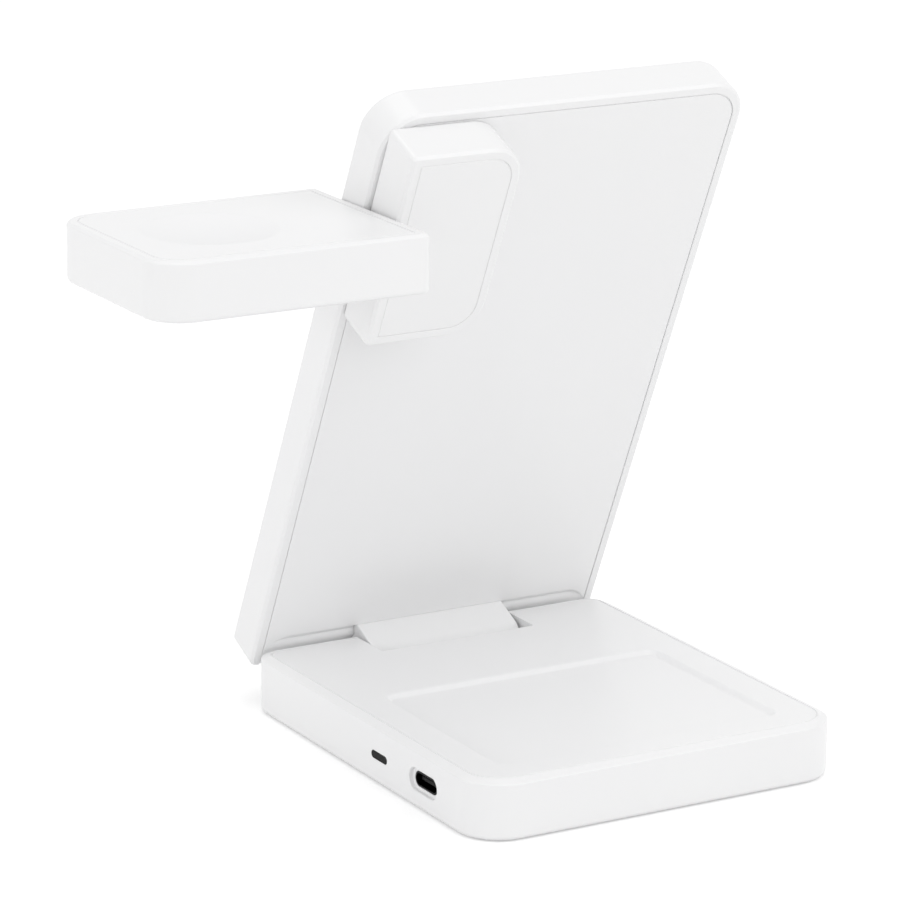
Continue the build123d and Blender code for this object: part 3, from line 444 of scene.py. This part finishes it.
# %% Bracket shell and cover
BUSH_HOLE = 3.27
bracket_low, bracket_high = reach("bracket_shell", LEANING)
bracket_corners, bracket_radii = box_corners(bracket_low, bracket_high), (1.0, 8.0, 8.0, 1.0)
bracket_face = bracket_high[2]
bracket_line = tub_line(bracket_face - bracket_low[2])
bracket = skin("bracket", carry(bracket_corners, bracket_radii, bracket_line, bracket_face), LEANING)
pivot = np.array(joints["watch_pivot"]["pos_m"]) / MM
PIVOT_END = work_plane((0, pivot[1], pivot[2]), (0, 1, 0), (0, 0, 1))
combine(bracket, block(*disc(BUSH_HOLE), bracket_low[0] - 2, bracket_low[0] + wall + 1, PIVOT_END), "DIFFERENCE")
mouldings.append(moulded(bracket, "panel", "bracket_shell"))
bracket_rings = carry(bracket_corners, bracket_radii, cover_line(MIDDLE, 0.1), bracket_face)
mouldings.append(moulded(skin("bracket_plate", bracket_rings, LEANING), "panel", "bracket_cover"))

# %% [markdown]
# ## Watch platform
# Its left end is round and its right end nearly square, with a short round boss that closes the gap to the bracket.
# The cover holds a dish for the watch's back: part of a large sphere, let into the flat by a smooth maximum, so the
# rim has no edge and the shade runs gently from one side of the dish to the other.

# %% Platform shell
PIVOT_BOSS = 5.0
plate_low, plate_high = reach("platform_cover", LEVEL)
tub_low, tub_high = reach("platform_shell", LEVEL)
platform_corners = box_corners(plate_low, plate_high, RIM + SEAM)
platform_radii = (8.0, 1.0, 1.0, 8.0)
platform_top = plate_high[2]
platform_line = tub_line(platform_top - tub_low[2])
platform = skin("platform", carry(platform_corners, platform_radii, platform_line, platform_top), LEVEL)
boss_line = rounded_line(
    [(0, platform_corners[1, 0] - 1), (0, tub_high[0]), (2, tub_high[0])], (0.3,)
)
combine(platform, skin("tool", carry(*disc(PIVOT_BOSS), boss_line, 0), PIVOT_END), "UNION")
mouldings.append(moulded(platform, "platform", "platform_shell"))

# %% Platform cover with the watch dish
DISH_RADIUS, DISH_DEPTH, DISH_SOFT = 13.9, 1.5, 0.14
dish_middle = sum(reach("watch_coil", LEVEL))[:2] / 2
sphere = (DISH_RADIUS**2 + DISH_DEPTH**2) / (2 * DISH_DEPTH)


def dish_height(radius):
    """Smooth maximum of the flat and a sphere cap: -(g + sqrt(g^2 + e^2)) / 2, where g is how far the sphere lies
    below the flat at that radius and e sets how soft the rim is."""
    below = np.sqrt(sphere**2 - radius**2) - (sphere - DISH_DEPTH)
    return -(below + np.sqrt(below**2 + DISH_SOFT**2)) / 2


platform_rings = carry(platform_corners, platform_radii, cover_line(3.2, 0.12), platform_top, steps=10, run=14)
spokes = platform_rings[-1, :, :2] - dish_middle
spokes /= np.linalg.norm(spokes, axis=1, keepdims=True)
radii = np.concatenate([np.linspace(17.5, 12.0, 23), np.linspace(11.5, 0.4, 20)])
heights = dish_height(radii) - dish_height(radii[:1])
dish_rings = np.concatenate(
    [
        dish_middle + radii[:, None, None] * spokes,
        np.broadcast_to((platform_top + heights)[:, None, None], (len(radii), len(spokes), 1)),
    ],
    2,
)
dish = skin("dish", np.concatenate([platform_rings, dish_rings]), LEVEL)
mouldings.append(moulded(dish, "platform", "platform_cover"))
print("dish is", round(float(-heights.min()), 3), "mm deep, its sphere", round(sphere, 1), "mm in radius")

# %% [markdown]
# ## Colours and nodes
# Finishes are written as sRGB hex values, as a paint chart gives them, and turned to the linear values that a
# renderer adds up. One small function adds a node, with its settings and what feeds it.

# %% Colour and node helpers


def linear(hex_colour):
    """sRGB to linear light: c / 12.92 up to 0.04045, and ((c + 0.055) / 1.055) to the 2.4 above it."""
    srgb = np.array([int(hex_colour[i:i + 2], 16) for i in (1, 3, 5)]) / 255
    light = np.where(srgb <= 0.04045, srgb / 12.92, ((srgb + 0.055) / 1.055) ** 2.4)
    return (*light.tolist(), 1.0)


def add_node(tree, kind, settings=None, feeds=None):
    """Adds a node. A setting goes to the socket of that name or number, or else to the node itself, and a feed
    links an output to a socket."""
    node = tree.nodes.new(kind)
    for key, value in (settings or {}).items():
        if isinstance(key, int) or key in node.inputs:
            node.inputs[key].default_value = value
        else:
            setattr(node, key, value)
    for key, output in (feeds or {}).items():
        tree.links.new(output, node.inputs[key])
    return node


def new_material(name):
    """Material with an empty node tree."""
    material = bpy.data.materials.new(name)
    material.use_nodes = True
    material.node_tree.nodes.clear()
    return material, material.node_tree


def per_metre(millimetres):
    """Texture scale whose pattern repeats about once in a length."""
    return 1 / (millimetres * MM)


print("white moulding in linear light", [round(c, 3) for c in linear("#F2F2F3")])

# %% [markdown]
# ## White ABS, satin and matt
# The housings are white ABS out of a fine-textured steel mould. It is bright and nearly neutral, with a sheen that
# blurs what it mirrors and grows strong at a low angle. Flow in the mould leaves the sheen very slightly uneven over
# some tens of millimetres, and the mould's spark texture, about 0.1 mm, is drawn at 0.45 mm so that it shows. The
# watch dish is the same plastic from a rougher patch of the mould: matt. Its colour is painted a touch whiter as a
# stand-in for the sheen that it lacks, which makes it a painted sheen.

# %% White moulding


def white_plastic(name, shades, roughness, specular):
    """White plastic between two shades and two values of roughness, by slow noise, with a fine bump."""
    material, tree = new_material(name)
    where = add_node(tree, "ShaderNodeTexCoord").outputs["Object"]
    flow = add_node(
        tree, "ShaderNodeTexNoise", {"Scale": per_metre(60), "Detail": 1.0, "Roughness": 0.4}, {"Vector": where}
    )
    spark = add_node(tree, "ShaderNodeTexNoise", {"Scale": per_metre(0.45), "Detail": 2.0}, {"Vector": where})
    tint = add_node(
        tree, "ShaderNodeMix", {"data_type": "RGBA", 6: linear(shades[0]), 7: linear(shades[1])},
        {0: flow.outputs["Fac"]},
    )
    sheen = add_node(
        tree, "ShaderNodeMapRange", {"To Min": roughness[0], "To Max": roughness[1]}, {"Value": flow.outputs["Fac"]}
    )
    grain = add_node(
        tree, "ShaderNodeBump", {"Strength": 0.05, "Distance": 0.02 * MM}, {"Height": spark.outputs["Fac"]}
    )
    plastic = add_node(
        tree, "ShaderNodeBsdfPrincipled", {"IOR": 1.53, "Specular IOR Level": specular},
        {"Base Color": tint.outputs[2], "Roughness": sheen.outputs["Result"], "Normal": grain.outputs["Normal"]},
    )
    add_node(tree, "ShaderNodeOutputMaterial", None, {"Surface": plastic.outputs["BSDF"]})
    return material


white_abs = white_plastic("white_abs_moulded_satin", ("#F0F0F1", "#F2F2F2"), (0.28, 0.34), 0.5)
# The matt dish's colour is painted a touch whiter than the satin white. This painted sheen stands in for the
# reflection that it lacks.
white_matt = white_plastic("white_abs_moulded_matt", ("#F3F3F4", "#F5F5F5"), (0.7, 0.8), 0.15)
for moulding in mouldings:
    moulding.data.materials.clear()
    moulding.data.materials.append(white_abs)
dish.data.materials.append(white_matt)
faces = len(dish.data.polygons)
middles, normals = np.empty(3 * faces, np.float32), np.empty(3 * faces, np.float32)
dish.data.polygons.foreach_get("center", middles)
dish.data.polygons.foreach_get("normal", normals)
from_middle = np.linalg.norm(middles.reshape(-1, 3)[:, :2] / MM - dish_middle, axis=1)
in_dish = (from_middle < DISH_RADIUS) & (normals.reshape(-1, 3)[:, 2] > 0.5)
dish.data.polygons.foreach_set("material_index", in_dish.astype(np.int32))
print("white moulding on", len(mouldings), "pieces, matt on", int(in_dish.sum()), "faces of the dish")

# %% [markdown]
# ## Small parts
# The other parts keep the engineering model's shape and get their own finish. What they share is a fine mottle of
# two tones and a slightly uneven gloss, at a grain size that belongs to the material: crystals of zinc on plated
# steel, glass cloth under a board's green mask, wound wire on the coils, ferrite's sintered grit.

# %% Mottled finishes


def mottled(name, dark, light, grain_mm, gloss, metallic=0.0, ior=1.5, specular=0.5):
    """Finish of two tones mixed by noise of a grain size, with roughness that runs between two values of gloss."""
    material, tree = new_material(name)
    where = add_node(tree, "ShaderNodeTexCoord").outputs["Object"]
    grit = add_node(
        tree, "ShaderNodeTexNoise", {"Scale": per_metre(grain_mm), "Detail": 4.0, "Roughness": 0.6}, {"Vector": where}
    )
    tone = add_node(
        tree, "ShaderNodeMix", {"data_type": "RGBA", 6: linear(dark), 7: linear(light)}, {0: grit.outputs["Fac"]}
    )
    rough = add_node(
        tree, "ShaderNodeMapRange", {"From Min": 0.3, "From Max": 0.7, "To Min": gloss[0], "To Max": gloss[1]},
        {"Value": grit.outputs["Fac"]},
    )
    relief = add_node(
        tree, "ShaderNodeBump", {"Strength": 0.12, "Distance": 0.1 * grain_mm * MM}, {"Height": grit.outputs["Fac"]}
    )
    surface = add_node(
        tree, "ShaderNodeBsdfPrincipled", {"Metallic": metallic, "IOR": ior, "Specular IOR Level": specular},
        {"Base Color": tone.outputs[2], "Roughness": rough.outputs["Result"], "Normal": relief.outputs["Normal"]},
    )
    add_node(tree, "ShaderNodeOutputMaterial", None, {"Surface": surface.outputs["BSDF"]})
    return material


finishes = {
    mottled("zinc_plated_steel", "#9A9CA0", "#B9BBBF", 0.6, (0.28, 0.4), 1.0): (
        "base_screws", "bracket_screws", "hinge_screws", "hinge_leaf", "hinge_spring_washers", "hinge_pin",
        "pivot_shaft", "pivot_spring_washer", "pivot_clip",
    ),
    # The socket's shell is coloured near black as painted shade. It stands in for the shadow inside the socket's
    # opening.
    mottled("dark_socket_shell_painted_shade", "#1B1B1D", "#262628", 0.5, (0.3, 0.42), 1.0): ("usb_socket",),
    mottled("black_glass_filled_nylon", "#0E0E0F", "#161617", 0.3, (0.45, 0.6), specular=0.2): ("usb_tongue",),
    mottled("smoked_polycarbonate_lens", "#0B0B0C", "#121213", 0.8, (0.3, 0.4), specular=0.08): ("status_lens",),
    mottled("white_led_epoxy", "#E9E6D8", "#F3F0E2", 0.4, (0.3, 0.4)): ("status_light",),
    mottled("grey_silicone_pad", "#B4B4B3", "#C2C2C1", 0.35, (0.7, 0.85), ior=1.41): ("base_pad",),
    mottled("grey_acetal_bush", "#A9A9A8", "#B6B6B5", 0.5, (0.4, 0.5), ior=1.48): ("pivot_bush",),
    mottled("green_solder_mask", "#0F4A22", "#176331", 0.7, (0.25, 0.4)): (
        "base_circuit_board", "panel_circuit_board", "platform_circuit_board",
    ),
    mottled("enamelled_copper_winding", "#A2562C", "#C0703F", 0.4, (0.25, 0.4), 1.0): (
        "earbud_coil", "phone_coil", "watch_coil",
    ),
    mottled("sintered_ferrite", "#2A2A2C", "#3A3A3C", 0.5, (0.5, 0.7)): (
        "earbud_ferrite", "phone_ferrite", "watch_ferrite",
    ),
    mottled("nickel_plated_magnet", "#A6A49E", "#BFBDB7", 0.5, (0.2, 0.3), 1.0): ("phone_magnets", "watch_magnet"),
}
for finish, users in finishes.items():
    for user in users:
        nodes[user].data.materials.clear()
        nodes[user].data.materials.append(finish)
for node in nodes.values():
    if node.hide_render:
        node.data.materials.clear()
        node.data.materials.append(white_abs)
print("finishes", len(finishes) + 2, "for", len(nodes), "nodes")

# %% [markdown]
# ## Floor and light
# A white product on white is lit mostly by its surroundings: a bright dome, a white floor that sends light back up,
# and large soft boxes that draw the pale lines along the edges. The dome and the floor look pure white to the camera
# and in reflections, but the light that they give is kept at a plain level, and the floor still takes a soft shadow.

# %% Floor
FLOOR_REACH, FLOOR_LIFT = 6.0, 0.28
floor_mesh = bpy.data.meshes.new("floor")
floor_mesh.from_pydata([(*(corner * FLOOR_REACH), 0) for corner in box_corners((-1, -1), (1, 1))], [], [(0, 1, 2, 3)])
floor = bpy.data.objects.new("floor", floor_mesh)
bpy.context.scene.collection.objects.link(floor)
paper, tree = new_material("white_studio_paper")
seen = add_node(tree, "ShaderNodeLightPath")
looked_at = add_node(
    tree, "ShaderNodeMath", {"operation": "MAXIMUM"},
    {0: seen.outputs["Is Camera Ray"], 1: seen.outputs["Is Glossy Ray"]},
)
lift = add_node(tree, "ShaderNodeMath", {"operation": "MULTIPLY", 1: FLOOR_LIFT}, {0: looked_at.outputs["Value"]})
glow = add_node(tree, "ShaderNodeEmission", {"Color": (1, 1, 1, 1)}, {"Strength": lift.outputs["Value"]})
matt = add_node(tree, "ShaderNodeBsdfDiffuse", {"Color": linear("#F4F4F4")})
both = add_node(tree, "ShaderNodeAddShader", None, {0: glow.outputs["Emission"], 1: matt.outputs["BSDF"]})
add_node(tree, "ShaderNodeOutputMaterial", None, {"Surface": both.outputs["Shader"]})
floor_mesh.materials.append(paper)
print("floor", 2 * FLOOR_REACH, "m wide")

# %% Dome and soft boxes
DOME_LIGHT = 0.7
world = bpy.data.worlds.new("studio")
bpy.context.scene.world = world
world.use_nodes = True
tree = world.node_tree
tree.nodes.clear()
seen = add_node(tree, "ShaderNodeLightPath")
looked_at = add_node(
    tree, "ShaderNodeMath", {"operation": "MAXIMUM"},
    {0: seen.outputs["Is Camera Ray"], 1: seen.outputs["Is Glossy Ray"]},
)
looked_through = add_node(
    tree, "ShaderNodeMath", {"operation": "MAXIMUM"},
    {0: looked_at.outputs["Value"], 1: seen.outputs["Is Transmission Ray"]},
)
level = add_node(
    tree, "ShaderNodeMapRange", {"To Min": DOME_LIGHT, "To Max": 1.0}, {"Value": looked_through.outputs["Value"]}
)
sky = add_node(tree, "ShaderNodeBackground", {"Color": (1, 1, 1, 1)}, {"Strength": level.outputs["Result"]})
add_node(tree, "ShaderNodeOutputWorld", None, {"Surface": sky.outputs["Background"]})

TARGET = Vector((-0.02, 0.0, 0.07))


def soft_box(name, azimuth, elevation, distance, size, watts):
    """Area lamp at a bearing from the target, facing it: place = target + d (cos e cos a, cos e sin a, sin e)."""
    a, e = math.radians(azimuth), math.radians(elevation)
    bearing = Vector((math.cos(e) * math.cos(a), math.cos(e) * math.sin(a), math.sin(e)))
    lamp = bpy.data.lights.new(name, "AREA")
    lamp.shape, lamp.size, lamp.size_y, lamp.energy = "RECTANGLE", size[0], size[1], watts
    holder = bpy.data.objects.new(name, lamp)
    bpy.context.scene.collection.objects.link(holder)
    holder.location = TARGET + bearing * distance
    holder.rotation_euler = (-bearing).to_track_quat("-Z", "Y").to_euler()


soft_box("key_box", -60, 35, 1.5, (1.0, 1.0), 4.5)
soft_box("front_box", -88, 14, 1.5, (1.4, 0.5), 1.4)
soft_box("left_box", 178, 12, 1.5, (1.0, 0.5), 3.8)
soft_box("overhead_box", 90, 84, 1.5, (1.2, 1.2), 3.8)
soft_box("rear_box", 60, 17, 2.0, (2.2, 1.2), 0.4)
print("dome at", DOME_LIGHT, "and", len(bpy.data.lights), "soft boxes")

# %% [markdown]
# ## Camera
# The stand is seen from its front left corner, a little above it, through a long lens. Back from the stand the
# camera lies at an azimuth and an elevation, and it is rolled by about half a degree.

# %% Camera
AZIMUTH, ELEVATION, ROLL = math.radians(-30.178), math.radians(15.687), math.radians(0.597)
lens = bpy.data.cameras.new("camera")
lens.sensor_width, lens.lens = 36.0, 177.285
lens.clip_start, lens.clip_end = 0.05, 50
camera = bpy.data.objects.new("camera", lens)
bpy.context.scene.collection.objects.link(camera)
camera.location = np.array([-467.17, -762.91, 315.74]) * MM
back = Vector((
    math.sin(AZIMUTH) * math.cos(ELEVATION), -math.cos(AZIMUTH) * math.cos(ELEVATION), math.sin(ELEVATION)
))
turned = (-back).to_track_quat("-Z", "Y").to_matrix() @ Matrix.Rotation(ROLL, 3, "Z")
camera.rotation_euler = turned.to_euler()
bpy.context.scene.camera = camera
bpy.context.scene.view_settings.view_transform = "Standard"
print("camera at", [round(x, 4) for x in camera.location], "with a", lens.lens, "mm lens")
